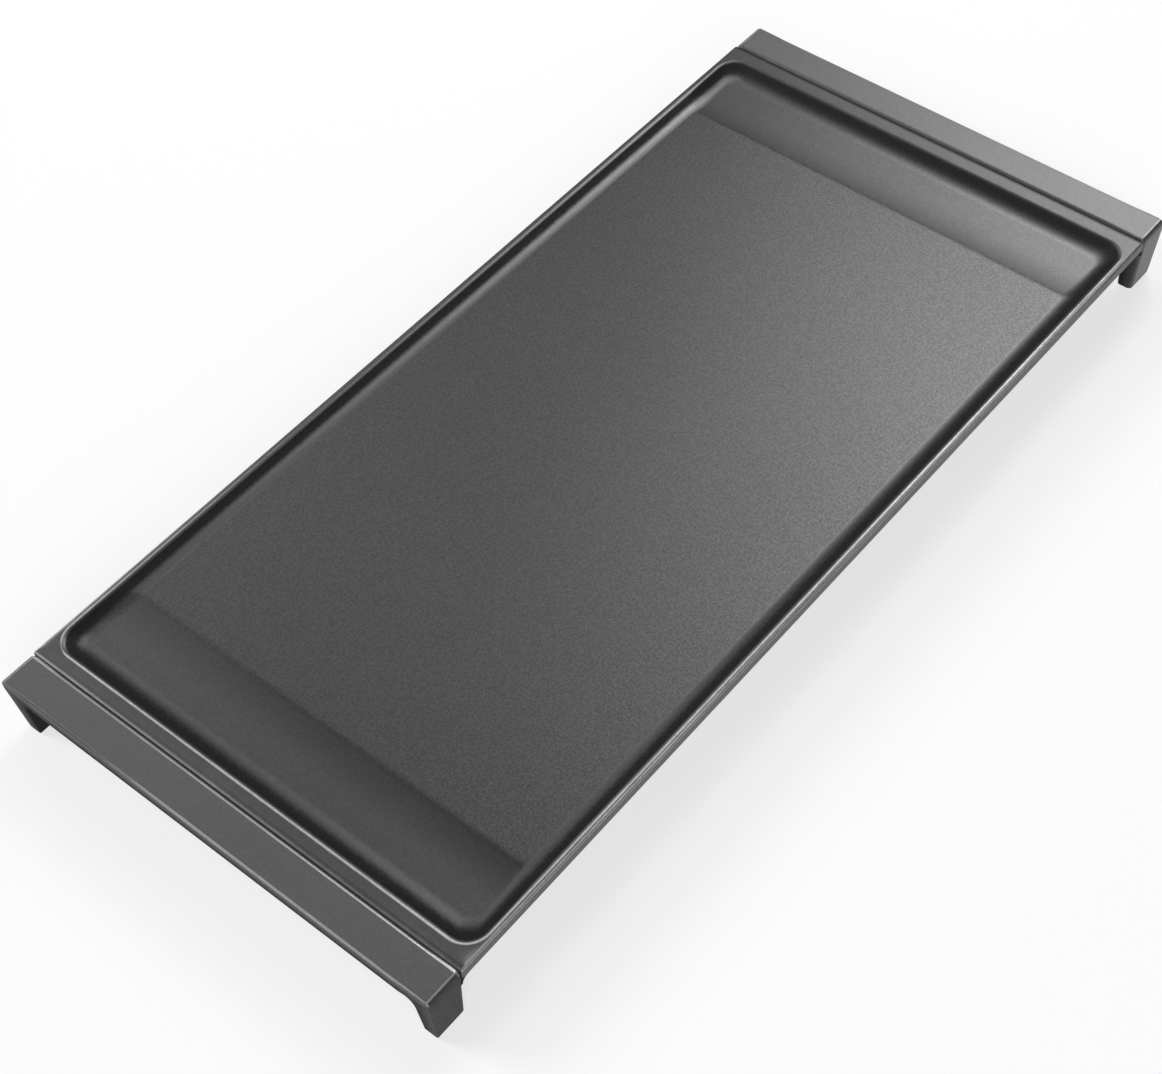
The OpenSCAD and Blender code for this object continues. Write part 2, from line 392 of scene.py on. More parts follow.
@dataclass
class CookingPlate:
    """The cast plate: rim, coved recess, cooking face, end troughs, body below and screw bosses.

    Sizes and places are millimetres. Fields of the finish are shares, apart from the places flat_from and
    flat_to, the place along the length where the front's wear and painted highlight start to fall off, and
    the place and width of the line of wear and painted highlight past the rim's inner edge.
    """

    half_x: float
    half_y: float
    top: float

    # Rim
    rim_t: float = 4.9
    rim_w: float = 3.1
    land_w: float = 7.9
    edge_r: float = 0.9
    lower_edge_r: float = 0.3
    seam_w: float = 2.6
    seam_h: float = 0.9
    plan_r: float = 0.8
    plan_grow: float = 0.1
    rim_round: float = 0.8

    # Recess and troughs
    recess_depth: float = 2.6
    cove_r: float = 17.0
    corner_r: float = 9.6
    floor_corner_r: float = 5.0
    trough_len: float = 39.0
    trough_drop: float = 1.3
    trough_ramp: float = 18.0
    crease_round: float = 0.45

    # Body and bosses
    floor_t: float = 4.7
    body_inset_x: float = 3.8
    body_inset_y: float = 4.0
    body_corner_r: float = 18.0
    body_round: float = 1.8
    root_round: float = 1.2
    boss_h: float = 4.0
    boss_d: float = 12.0
    boss_edge: float = 0.5
    boss_root_r: float = 1.5
    boss_sunk: float = 0.4
    boss_axis: float = 0.2
    bore_r: float = 2.6
    bore_lid: float = 0.1
    bore_lip: float = 0.3
    screw_in: float = 17.0
    screw_pitch: float = 75.0

    # Finish of the rim and its edges: painted shade on the flat, the sides and facing the far groove, and
    # wear with painted highlight along the edges
    rim_grain: float = 0.85
    rim_shade: float = 0.12
    rim_skew: float = 0.8
    side_shade: float = 0.1
    lower_wear_and_highlight: float = 0.2
    seam_wear_and_highlight: float = 0.4
    groove_shade: float = 0.6
    flat_wear_and_highlight: float = 0.7
    flat_from: float = -60.0
    flat_to: float = 120.0
    far_wear_and_highlight: float = 0.12
    left_wear_and_highlight: float = 1.0
    wear_and_highlight_to: float = 120.0
    wear_and_highlight_fade: float = 0.5
    wear_and_highlight_at: float = 0.9
    wear_and_highlight_w: float = 0.6

    # Finish of the recess wall, the troughs and the underside: painted shade, and grain
    wall_shade: float = 0.92
    wall_from: float = 0.37
    wall_to: float = 0.66
    wall_fade: float = 0.9
    wall_shift: float = 0.06
    wall_soft: float = 0.24
    wall_late: float = 0.1
    deep_shade: float = 0.5
    trough_grain: float = 0.89
    trough_grain_by: float = 0.3
    trough_shade: float = 0.115
    trough_shade_by: float = 0.2
    trough_skew: float = 0.3
    crease_shade: float = 0.16
    under_grain: float = 0.6
    boss_grain: float = 0.3

    # Counts of points, and distances that place points beside an arc or a crease, so that flats stay flat;
    # flat_guard is a share of the edge's width
    trough_lead: float = 4.0
    trough_stations: int = 44
    middle_stations: int = 41
    cross_stations: int = 33
    half_corner: int = 6
    edge_stations: int = 11
    boss_stations: int = 7
    boss_spin: int = 48
    guard: float = 0.1
    side_guard: float = 0.15
    under_guard: float = 0.2
    flat_guard: float = 1.1
    stations: Stations = field(init=False)

    def __post_init__(self) -> None:
        """Works out where the ring points stand: close together over the troughs, wider over the middle."""
        reach = self.recess_x - self.corner_r
        trough = np.linspace(self.crease_x - self.trough_lead, reach, self.trough_stations) / reach
        middle = np.linspace(-trough[0], trough[0], self.middle_stations)[1:-1]
        run_x = np.concatenate([-trough[::-1], middle, trough])
        self.stations = Stations(run_x, np.linspace(-1.0, 1.0, self.cross_stations), self.half_corner)

    @property
    def recess_x(self) -> float:
        """Half length of the recess at the rim."""
        return self.half_x - self.land_w

    @property
    def recess_y(self) -> float:
        """Half width of the recess at the rim."""
        return self.half_y - self.rim_w

    @property
    def crease_x(self) -> float:
        """Where the cooking face ends and a trough begins."""
        return self.recess_x - self.trough_len

    @property
    def under(self) -> float:
        """Height of the flat underside."""
        return self.top - self.recess_depth - self.trough_drop - self.floor_t

    def cove_width(self, depth: float) -> float:
        """Width that the cove takes to climb from a floor at the given depth to the rim."""
        return math.sqrt(2.0 * self.cove_r * depth - depth ** 2)

    def body_outline(self, inset: float) -> tuple[float, float, float]:
        """Half length, half width and corner radius at an inset from the body's wall."""
        return (self.half_x - self.body_inset_x - inset, self.half_y - self.body_inset_y - inset,
                self.body_corner_r - inset)

    def foot_sides(self) -> list:
        """Outline at the cove's foot, further in at the ends, where the floor is deeper.

        Returns:
            South, east, north and west sides as pairs of points and normals.
        """
        end = self.cove_width(self.recess_depth + self.trough_drop)
        side = self.cove_width(self.recess_depth)
        return self.stations.sides(self.recess_x - end, self.recess_y - side, self.floor_corner_r)

    def floor_height(self, x: Array) -> Array:
        """Height of the recess floor along the length.

        The cooking face is level. Past the crease the floor follows an arc that is steepest at the crease
        and levels out at the end of the ramp; the crease itself is rounded.

        Args:
            x: distance from the middle of the length.

        Returns:
            Heights of the floor.
        """
        radius = (self.trough_ramp ** 2 + self.trough_drop ** 2) / (2.0 * self.trough_drop)
        past = soft_ramp(np.abs(x) - self.crease_x, self.crease_round)
        left = self.trough_ramp - np.minimum(past, self.trough_ramp)
        above = radius - np.sqrt(radius ** 2 - left ** 2)
        return self.top - self.recess_depth - self.trough_drop + above

    def sunk(self, floor: Array) -> Array:
        """Share of the trough's drop at floor heights: 0 on the cooking face, 1 at the trough's bottom."""
        return (self.top - self.recess_depth - floor) / self.trough_drop

    def facing_wear_and_highlight(self, normals: Array, x: Array) -> Array:
        """Share of wear and painted highlight by where an edge faces and stands along the length.

        It is full towards the front and the left end, falls off towards the right end, grows along the
        back edge towards the left end, and is little elsewhere, so that the facing places painted highlight
        along the edges.

        Args:
            normals: outward directions of the outline.
            x: distances along the length.

        Returns:
            Shares of wear and painted highlight.
        """
        toward = np.clip(-normals[:, 0] - normals[:, 1], 0.0, 1.0)
        toward = toward * (1.0 - self.wear_and_highlight_fade * smooth_step(x, self.wear_and_highlight_to, self.half_x))
        back = self.left_wear_and_highlight * np.clip(normals[:, 1], 0.0, 1.0) * np.clip(-x / self.half_x, 0.0, 1.0)
        return self.far_wear_and_highlight + (1.0 - self.far_wear_and_highlight) * np.maximum(toward, back)

    def rim_dull(self, x: Array) -> Array:
        """Share of painted shade on the rim's flat: it grows from the left end to the right."""
        return self.rim_shade * (1.0 + self.rim_skew * x / self.half_x)

    def wall_dull(self, normals: Array, x: Array, floor: Array) -> Array:
        """Share of painted shade up the recess wall: a dull dark layer in place of the wall's reflections.

        It sets in part of the way up, sooner on all walls but the back one, stays to near the rim, and
        starts at the foot on the back wall of the right trough, where it paints shade over a highlight.

        Args:
            normals: outward directions of the outline.
            x: distances along the length at the wall's foot.
            floor: heights of the wall's foot.

        Returns:
            Shares as rings and points.
        """
        toward = np.clip(-normals[None, :, 0] - normals[None, :, 1], 0.0, 1.0)
        back = np.clip(normals[None, :, 1], 0.0, 1.0)
        start = self.wall_from - self.wall_soft * (1.0 - back)
        stop = self.wall_to + self.wall_late * (1.0 - back)
        dull = smooth_step(WALL_SHARES + self.wall_shift * toward, start, stop)
        dull = np.maximum(dull, self.deep_shade * self.sunk(floor) * (x > 0.0) * back)
        return self.wall_shade * dull * (1.0 - smooth_step(WALL_SHARES, self.wall_fade, 1.0))

    def recess_rings(self) -> tuple[Array, Array, Array]:
        """Rings from the foot of the cove over the rounded rim edge to the rim's flat.

        Each point of the foot outline has its partner on the rim outline. The wall between them is the
        circular arc that leaves the floor level at the foot and reaches the rim at the partner; past it the
        arc's last slope goes on, held under the rim by a rounded minimum.

        Returns:
            Points as rings, points and X, Y and Z, their wear with painted highlight and their share of
            painted shade.
        """
        foot, _ = ring_of(self.foot_sides())
        rim, normals = self.stations.ring(self.recess_x, self.recess_y, self.corner_r)
        width = np.linalg.norm(rim - foot, axis=1)[None]
        floor = self.floor_height(foot[None, :, 0])
        depth = self.top - floor
        radius = (width ** 2 + depth ** 2) / (2.0 * depth)
        climb = np.concatenate([floor + radius - np.sqrt(radius ** 2 - (WALL_SHARES * width) ** 2),
                                self.top + RIM_STEPS * width / (radius - depth)])
        plan = np.concatenate([foot + WALL_SHARES[..., None] * (rim - foot)[None],
                               rim + RIM_STEPS[..., None] * normals[None]])
        height = soft_min(climb, np.full_like(climb, self.top), self.rim_round)
        beyond = np.concatenate([(WALL_SHARES - 1.0) * self.cove_width(self.recess_depth), RIM_STEPS])
        # Line of wear and painted highlight just past the rim's inner edge, scaled by where the edge faces
        line = np.exp(-((beyond - self.wear_and_highlight_at) / self.wear_and_highlight_w) ** 2)
        wear_and_highlight = line * self.facing_wear_and_highlight(normals, rim[:, 0])[None]
        painted_shade = np.concatenate([self.wall_dull(normals, foot[None, :, 0], floor),
                              self.rim_dull(rim[:, 0])[None] * smooth_step(RIM_STEPS, 0.0, self.wear_and_highlight_at)])
        return np.concatenate([plan, height[..., None]], axis=2), wear_and_highlight, painted_shade

    def outer_rings(self) -> tuple[Array, Array, Array]:
        """Rings from the rim's flat over the outer edge, down the side, under the rim and down the body.

        The outer edge is a quarter ellipse, wide at the grooves and a quarter circle along the long sides.
        The edge below it, the root of the body and the body's lower edge are quarter circles.

        Returns:
            Points as rings, points and X, Y and Z, their wear with painted highlight and their share of
            painted shade.
        """
        turn = quarter(self.edge_stations)
        low = self.top - self.rim_t
        rings = []

        def rim_ring(share: float, drop: float, wear_and_highlight: float) -> None:
            """Adds a ring at a share of the edge's width in from outside, sunk by a share of its height."""
            rings.append(Ring(self.half_x - share * self.seam_w, self.half_y - share * self.edge_r,
                              self.plan_r + self.plan_grow * share, self.top, self.side_shade * drop,
                              drop, wear_and_highlight, 1.0 - drop, self.groove_shade * max(1.0 - share, 0.0)))

        def under_ring(inset: float, z: float, wear_and_highlight: float = 0.0) -> None:
            """Adds a ring at an inset from the rim's outer edge."""
            rings.append(Ring(self.half_x - inset, self.half_y - inset, self.plan_r, z, self.side_shade,
                              wear_and_highlight=wear_and_highlight))

        def body_ring(inset: float, z: float) -> None:
            """Adds a ring at an inset from the body's wall."""
            rings.append(Ring(*self.body_outline(inset), z, 1.0))

        rim_ring(self.flat_guard, 0.0, 0.0)
        for a in turn:
            rim_ring(1.0 - math.sin(a), 1.0 - math.cos(a), math.sin(2.0 * a))
        under_ring(0.0, self.top - max(self.seam_h, self.edge_r) - self.side_guard)
        under_ring(0.0, low + self.lower_edge_r + self.guard)
        for a in turn:
            under_ring(self.lower_edge_r * (1.0 - math.cos(a)),
                       low + self.lower_edge_r * (1.0 - math.sin(a)), self.lower_wear_and_highlight * math.sin(2.0 * a))
        under_ring(self.lower_edge_r + self.guard, low)
        for a in turn:
            body_ring(self.root_round * (math.sin(a) - 1.0), low - self.root_round * (1.0 - math.cos(a)))
        body_ring(0.0, low - self.root_round - self.guard)
        body_ring(0.0, self.under + self.body_round + self.guard)
        for a in turn:
            body_ring(self.body_round * (1.0 - math.cos(a)),
                      self.under + self.body_round * (1.0 - math.sin(a)))
        points, rubbed_and_highlight, dull = [], [], []
        for ring in rings:
            plan, normals = self.stations.ring(ring.half_x, ring.half_y, ring.radius)
            x = plan[:, 0]
            sunk = ring.drop * (self.seam_h * normals[:, :1] ** 2 + self.edge_r * normals[:, 1:] ** 2)
            points.append(np.concatenate([plan, ring.z - sunk], axis=1))
            # Wear and painted highlight: on the rim's flat towards the left end, and on edges by where they
            # face
            flat_worn_and_highlight = self.flat_wear_and_highlight * ring.flat * smooth_step(-x, self.flat_from, self.flat_to)
            share = self.seam_wear_and_highlight * normals[:, 0] ** 2 + normals[:, 1] ** 2
            rubbed_and_highlight.append(np.maximum(ring.wear_and_highlight, flat_worn_and_highlight) * share * self.facing_wear_and_highlight(normals, x))
            # Painted shade on the side, on the rim's flat and where the ring faces the far groove
            groove = ring.groove * np.clip(normals[:, 0], 0.0, 1.0)
            dull.append(np.maximum(ring.painted_shade + ring.flat * self.rim_dull(x), groove))
        return np.stack(points), np.stack(rubbed_and_highlight), np.stack(dull)

    def boss(self, x: float, y: float) -> Surface:
        """Cast boss under a screw: a profile turned about its axis, with a root fillet and a blind bore.

        Args:
            x: place along the length.
            y: place across the width.

        Returns:
            The closed surface, its root just inside the plate.
        """
        r, face, root = self.boss_d / 2.0, self.under - self.boss_h, self.under
        turn = quarter(self.boss_stations)
        shoulder, lid, lost = r - self.boss_edge, root + self.bore_lid, root + self.boss_sunk
        profile = np.concatenate([
            [(self.boss_axis, lid), (self.bore_r, lid), (self.bore_r, face + self.bore_lip)],
            pairs(shoulder + self.boss_edge * np.sin(turn), face + self.boss_edge * (1.0 - np.cos(turn))),
            pairs(r + self.boss_root_r * (1.0 - np.cos(turn)),
                  root - self.boss_root_r * (1.0 - np.sin(turn))),
            [(r + self.boss_root_r, lost), (self.boss_axis, lost)]])
        radius, height = profile[:, 0, None, None], profile[:, 1, None, None]
        spin = np.linspace(0.0, 2.0 * math.pi, self.boss_spin, endpoint=False)
        points = np.concatenate([radius * pairs(np.cos(spin), np.sin(spin))[None] + np.array([x, y]),
                                 np.repeat(height, len(spin), axis=1)], axis=2)
        return capped_tube(points, self.boss_grain, np.zeros(len(spin)))

    def floor_finish(self, x: Array, floor: Array) -> tuple[Array, Array]:
        """Grain and painted shade over the recess floor: a smoother trough in painted shade, darkest past
        its crease.

        Args:
            x: distances along the length.
            floor: heights of the floor.

        Returns:
            Shares of grain and of painted shade.
        """
        sunk = self.sunk(floor)
        grain = 1.0 - (1.0 - self.trough_grain) * smooth_step(sunk, 0.0, self.trough_grain_by)
        # Painted shade in the trough, more at the right end and most just past the crease
        trough = self.trough_shade * (1.0 + self.trough_skew * np.sign(x))
        return grain, (trough + self.crease_shade * (1.0 - sunk)) * smooth_step(sunk, 0.0, self.trough_shade_by)

    def surface(self) -> Surface:
        """The whole plate: floor grid, recess rings, outer rings, underside grid and bosses.

        The rings lie between the two grids and meet their edge points, so that strips of quads from ring to
        ring close the surface.

        Returns:
            The plate and its bosses as one surface.
        """
        floor = patch_of(self.foot_sides())
        rows, cols = floor.shape[:2]
        floor_z = self.floor_height(floor[..., :1])
        inner, inner_wear_and_highlight, inner_shade = self.recess_rings()
        outer, outer_wear_and_highlight, outer_shade = self.outer_rings()
        rings = np.concatenate([inner[1:], outer])
        below = patch_of(self.stations.sides(*self.body_outline(self.body_round + self.under_guard)))
        under = np.concatenate([below, np.full(below.shape[:2] + (1,), self.under)], axis=2)
        grid_total, ring_total = rows * cols, rings.shape[0] * rings.shape[1]
        points = np.concatenate([part.reshape(-1, 3) for part in
                                 (np.concatenate([floor, floor_z], axis=2), rings, under)])
        edge = rim_numbers(rows, cols)
        ring_ids = grid_total + np.arange(ring_total).reshape(rings.shape[:2])
        stack = np.concatenate([edge[None], ring_ids, edge[None] + grid_total + ring_total])
        beside = np.roll(stack, -1, axis=1)
        walls = np.stack([stack[:-1], stack[1:], beside[1:], beside[:-1]], axis=-1).reshape(-1, 4)
        faces = grid_quads(rows, cols) + [tuple(f) for f in walls.tolist()]
        faces += [f[::-1] for f in grid_quads(rows, cols, first=grid_total + ring_total)]
        floor_grain, floor_shade = self.floor_finish(floor[..., 0].reshape(-1), floor_z.reshape(-1))
        ring_grain = np.repeat([self.trough_grain, self.rim_grain], [len(inner) - 1, len(outer)])
        grain = np.concatenate([floor_grain, np.repeat(ring_grain, rings.shape[1]),
                                np.full(grid_total, self.under_grain)])
        wear_and_highlight = np.concatenate([np.zeros(grid_total), inner_wear_and_highlight[1:].reshape(-1), outer_wear_and_highlight.reshape(-1),
                               np.zeros(grid_total)])
        # Painted shade: over floor, wall and rim as worked out, and full on the underside
        painted_shade = np.concatenate([floor_shade, inner_shade[1:].reshape(-1), outer_shade.reshape(-1),
                              np.ones(grid_total)])
        plate = Surface(points, faces, grain, wear_and_highlight, painted_shade)
        places = [(s * (self.half_x - self.screw_in), y) for s in (-1, 1)
                  for y in (-self.screw_pitch, 0.0, self.screw_pitch)]
        return Surface.join([plate] + [self.boss(x, y) for x, y in places])


# Rails

@dataclass
class EndRail:
    """An end rail: ledge, two legs with filleted corners, flared shoulders and three screw tabs.

    Sizes and places are millimetres, and the angle of the tab's tip is in degrees. The rail's share of wear
    with painted highlight, its legs' share of painted shade and the fields of the finish are shares, apart
    from the places edge_from and edge_to.
    """

    end: End
    inner_x: float
    outer_x: float
    half_y: float
    top: float
    foot_z: float
    screw_x: float
    screw_pitch: float
    tab_top: float
    worn_and_highlight: float
    leg_shade: float

    # Ledge and legs
    ledge_t: float = 4.5
    lip: float = 3.6
    edge_r: float = 2.2
    ledge_r: float = 0.8
    seam_r: float = 1.8
    plan_r: float = 0.7
    under_r: float = 0.5
    leg_t: float = 6.8
    leg_lean: float = 2.0
    leg_draft: float = 2.6
    leg_fillet: float = 9.0
    foot_round: float = 0.5

    # Shoulders and tabs
    shoulder: float = 4.4
    shoulder_tip: float = 0.3
    shoulder_root: float = 1.5
    tab_w: float = 18.0
    tab_t: float = 4.0
    tab_bend_r: float = 1.5
    tab_round: float = 0.6
    tab_tip_angle: float = 4.0
    riser_t: float = 5.0
    riser_root: float = 1.0
    keen_r: float = 0.05
    thin_share: float = 0.4
    narrow_share: float = 0.45

    # Finish: grain, painted shade under the ledge, on its faces and legs, and wear with painted highlight on
    # edges
    grain: float = 0.5
    tab_grain: float = 0.4
    face_shade: float = 0.65
    outer_shade: float = 0.42
    seam_wear_and_highlight: float = 1.6
    edge_wear_and_highlight: float = 1.0
    edge_from: float = 0.0
    edge_to: float = 100.0
    outer_low_wear_and_highlight: float = 0.4
    inner_low_wear_and_highlight: float = 0.3
    leg_wear_and_highlight_loss: float = 0.7
    end_line: float = 0.16
    end_line_w: float = 0.12

    # Counts of points, and distances that place points beside an arc or a corner, so that flats stay flat
    corner_steps: int = 6
    small_steps: int = 4
    ledge_stations: int = 22
    top_stations: int = 9
    turn_stations: int = 11
    down_stations: int = 12
    leg_stations: int = 9
    foot_stations: int = 6
    shoulder_stations: int = 16
    tip_stations: int = 18
    run_stations: int = 6
    bend_stations: int = 9
    section_guard: float = 0.25
    small_guard: float = 0.1
    guard: float = 0.2
    ledge_lead: float = 0.6
    leg_lead: float = 0.8
    run_lead: float = 1.0
    riser_lead: float = 0.3
    riser_stop: float = 0.5

    @property
    def under(self) -> float:
        """Height of the ledge's underside at the groove."""
        return self.top - self.ledge_t

    @property
    def leg_inner_y(self) -> float:
        """Inner face of a leg."""
        return self.half_y - self.leg_draft - self.leg_t

    def drop(self, z: Array) -> Array:
        """Share of the way down a leg from the ledge's underside to the foot."""
        return np.clip((self.under - z) / (self.under - self.foot_z), 0.0, 1.0)

    def side_y(self, z: Array) -> Array:
        """Y of a leg's drafted side face at a height."""
        return self.half_y - self.leg_draft * self.drop(z)

    def out(self, x: Array) -> Array:
        """Share of the way from the groove to the outer face."""
        return (x - self.inner_x) / (self.outer_x - self.inner_x)

    def lip_drop(self, x: Array, y: Array, z: Array) -> Array:
        """How far the ledge's underside is let down: by the lip at the outer face, not at groove or legs.

        Args:
            x: places along the length.
            y: places across the width.
            z: heights before the drop.

        Returns:
            The drop at each place.
        """
        low = np.clip((self.top - z) / self.ledge_t, 0.0, 1.0)
        clear = 1.0 - smooth_step(np.abs(y), self.leg_inner_y - self.leg_fillet, self.leg_inner_y)
        return self.lip * self.out(x) * low * clear

    def half_lines(self) -> tuple[Array, Array, Array]:
        """Inner and outer lines of the bent band from the middle of the ledge to one foot, as Y and Z.

        The inner line is the ledge's underside, the fillet arc and the leg's inner face. The outer line is
        the ledge's top, the rounded top corner and the drafted side face.

        Returns:
            Inner line, outer line and, for each station, the share by which the band faces sideways.
        """
        fillet_y = self.leg_inner_y - self.leg_fillet
        fillet_z = self.under - self.leg_fillet
        ledge_y = np.append(np.linspace(0.0, fillet_y - self.ledge_lead, self.ledge_stations),
                            fillet_y - self.guard)
        bend = quarter(self.top_stations + self.turn_stations + self.down_stations)
        leg_end = self.foot_z + 2 * self.foot_round
        leg_z = np.append(fillet_z - self.guard,
                          np.linspace(fillet_z - self.leg_lead, leg_end, self.leg_stations))
        foot = quarter(self.foot_stations)
        foot_z = self.foot_z + self.foot_round * (1.0 - np.sin(foot))
        inset = self.foot_round * (1.0 - np.cos(foot))
        inner = [pairs(ledge_y, self.under),
                 pairs(fillet_y + self.leg_fillet * np.sin(bend),
                       self.under - self.leg_fillet * (1.0 - np.cos(bend))),
                 pairs(self.leg_inner_y, leg_z), pairs(self.leg_inner_y + inset, foot_z)]
        turn = quarter(self.turn_stations)
        top_y = np.linspace(fillet_y, self.half_y - self.edge_r - self.guard, self.top_stations)
        down = np.linspace(self.top - self.edge_r - self.guard, fillet_z, self.down_stations)
        outer = [pairs(ledge_y, self.top), pairs(top_y, self.top),
                 pairs(self.half_y - self.edge_r * (1.0 - np.sin(turn)),
                       self.top - self.edge_r * (1.0 - np.cos(turn))),
                 pairs(self.side_y(down), down), pairs(self.side_y(leg_z), leg_z),
                 pairs(self.side_y(foot_z) - inset, foot_z)]
        sideways = np.concatenate([np.zeros(len(ledge_y) + len(top_y)), turn / turn[-1],
                                   np.ones(len(down) + len(leg_z) + len(foot_z))])
        return np.concatenate(inner), np.concatenate(outer), sideways

    def band(self) -> Surface:
        """Ledge and both legs as one rounded section carried from foot to foot.

        The lines of one half are mirrored in Y. A leg's outer face leans inwards by its share of the way
        down, and the ledge's underside is let down towards its outer face.

        Returns:
            The closed surface.
        """
        inner, outer, sideways = self.half_lines()
        flip = np.array([-1.0, 1.0])
        inner = np.concatenate([inner[:0:-1] * flip, inner])
        outer = np.concatenate([outer[:0:-1] * flip, outer])
        sideways = np.concatenate([sideways[:0:-1], sideways])
        every = np.ones(len(inner))
        plan = self.ledge_r + (self.plan_r - self.ledge_r) * sideways
        radii = np.stack([plan, self.under_r * every, self.under_r * every, self.seam_r * every], axis=1)
        section = carried_section(inner, outer, self.inner_x * every, self.outer_x * every, radii,
                                  self.corner_steps, self.section_guard)
        y, z, x = section[..., 0], section[..., 1], section[..., 2]
        lean = self.leg_lean * self.drop(z) * self.out(x)
        points = np.stack([x - lean, y, z - self.lip_drop(x, y, z)], axis=-1)
        turn = np.concatenate([[0.0], np.linspace(0.0, 1.0, self.corner_steps + 1), [1.0]])
        below = np.ones_like(turn)
        # Painted shade: full under the ledge, part on the outer face and on the face beside the groove, and
        # over the legs
        around = np.concatenate([self.outer_shade * turn, below, below, self.face_shade * turn[::-1]])
        painted_shade = np.maximum(around, self.leg_shade * sideways[:, None])
        top = np.concatenate([1.0 - turn, 0.0 * turn, 0.0 * turn, 1.0 - turn[::-1]])
        # Painted highlight line across the ledge's top where it starts to round down into each leg
        end_line = np.exp(-((sideways - self.end_line) / self.end_line_w) ** 2)
        # Wear and painted highlight on the edges: the top outer edge fades along Y and the legs carry less
        edge = section_wear_and_highlight(self.corner_steps, (self.worn_and_highlight * self.edge_wear_and_highlight, 0.0, 0.0, 0.0))
        others = section_wear_and_highlight(self.corner_steps,
                              (0.0, self.outer_low_wear_and_highlight, self.inner_low_wear_and_highlight, self.worn_and_highlight * self.seam_wear_and_highlight))
        rubbed_and_highlight = np.maximum(edge * (1.0 - smooth_step(y, self.edge_from, self.edge_to)), others)
        wear_and_highlight = np.maximum(rubbed_and_highlight * (1.0 - self.leg_wear_and_highlight_loss * sideways[:, None]), end_line[:, None] * top)
        return capped_tube(points, self.grain, wear_and_highlight, painted_shade)

    def flare(self, side: int) -> Surface:
        """Shoulder under a plate corner: the leg's thickness carried along a concave arc in X and Z.

        Args:
            side: -1 at the front leg, 1 at the back one.

        Returns:
            The closed surface, its root just inside the leg.
        """
        turn = quarter(self.shoulder_stations)
        centre_x = self.inner_x - self.shoulder
        centre_z = self.under - self.shoulder - self.shoulder_tip
        x = np.append(centre_x + self.shoulder * np.sin(turn), self.inner_x + self.shoulder_root)
        z = np.append(centre_z + self.shoulder * np.cos(turn), centre_z)
        soft = np.minimum(self.under_r, self.thin_share * (self.under - z))
        keen = np.full_like(x, self.keen_r)
        section = carried_section(pairs(x, self.under), pairs(x, z), np.full_like(x, self.leg_inner_y),
                                  self.side_y(z), np.stack([soft, keen, keen, soft], axis=1),
                                  self.small_steps, self.small_guard)
        points = np.stack([section[..., 0], side * section[..., 2], section[..., 1]], axis=-1)
        edge = self.outer_low_wear_and_highlight
        return capped_tube(points, self.grain, section_wear_and_highlight(self.small_steps, (edge, 0.0, 0.0, edge)))

    def tab(self, y: float) -> Surface:
        """Screw tab and its riser: a flat strip with a round tip, bent up by a quarter turn into the ledge.

        Args:
            y: place across the width.

        Returns:
            The closed surface, its upper end just inside the ledge.
        """
        bottom, half = self.tab_top - self.tab_t, self.tab_w / 2.0
        near, far = self.tab_bend_r, self.tab_bend_r + self.riser_t
        bend_x = self.inner_x - self.tab_bend_r
        swing = np.linspace(math.radians(self.tab_tip_angle), math.pi / 2, self.tip_stations)
        run_x = np.linspace(self.screw_x + self.run_lead, bend_x - self.guard, self.run_stations)
        flat_x = np.concatenate([self.screw_x - half + half * (1.0 - np.cos(swing)), run_x])
        turn = quarter(self.bend_stations)
        rise_z = np.array([self.tab_top + near + self.riser_lead, self.under - self.riser_stop,
                           self.under + self.riser_root])
        inner = np.concatenate([
            pairs(flat_x, self.tab_top),
            pairs(bend_x + near * np.sin(turn), self.tab_top + near * (1.0 - np.cos(turn))),
            pairs(self.inner_x, rise_z)])
        outer = np.concatenate([
            pairs(flat_x, bottom),
            pairs(bend_x + far * np.sin(turn), bottom + far * (1.0 - np.cos(turn))),
            pairs(self.inner_x + self.riser_t, rise_z)])
        first = -len(rise_z)
        outer[first, 1] = max(outer[first, 1], outer[first - 1, 1] + self.guard)
        width = np.append(half * np.sin(swing), np.full(len(inner) - len(swing), half))
        soft = np.minimum(self.tab_round, self.narrow_share * width)
        section = carried_section(inner, outer, y - width, y + width, np.repeat(soft[:, None], 4, axis=1),
                                  self.small_steps, self.small_guard)
        points = np.stack([section[..., 0], section[..., 2], section[..., 1]], axis=-1)
        edges = (self.outer_low_wear_and_highlight, self.inner_low_wear_and_highlight, self.inner_low_wear_and_highlight, self.outer_low_wear_and_highlight)
        return capped_tube(points, self.tab_grain, section_wear_and_highlight(self.small_steps, edges))

    def surface(self) -> Surface:
        """The whole rail on its own end of the plate.

        Returns:
            Band, shoulders and tabs as one surface, mirrored in X for the left end.
        """
        tabs = [self.tab(y) for y in (-self.screw_pitch, 0.0, self.screw_pitch)]
        rail = Surface.join([self.band(), self.flare(-1), self.flare(1)] + tabs)
        rail.points = rail.points * np.array([float(self.end.value), 1.0, 1.0])
        return rail


# Shader maths

@dataclass(frozen=True)
class Cloud:
    """A layer of noise: lumps a metre, how many finer layers it holds and how strong these are."""

    scale: float
    detail: float
    rough: float = 0.5


@dataclass(frozen=True)
class Relief:
    """How strongly, and over how many metres of height, a height field tilts the surface."""

    strength: float
    distance: float


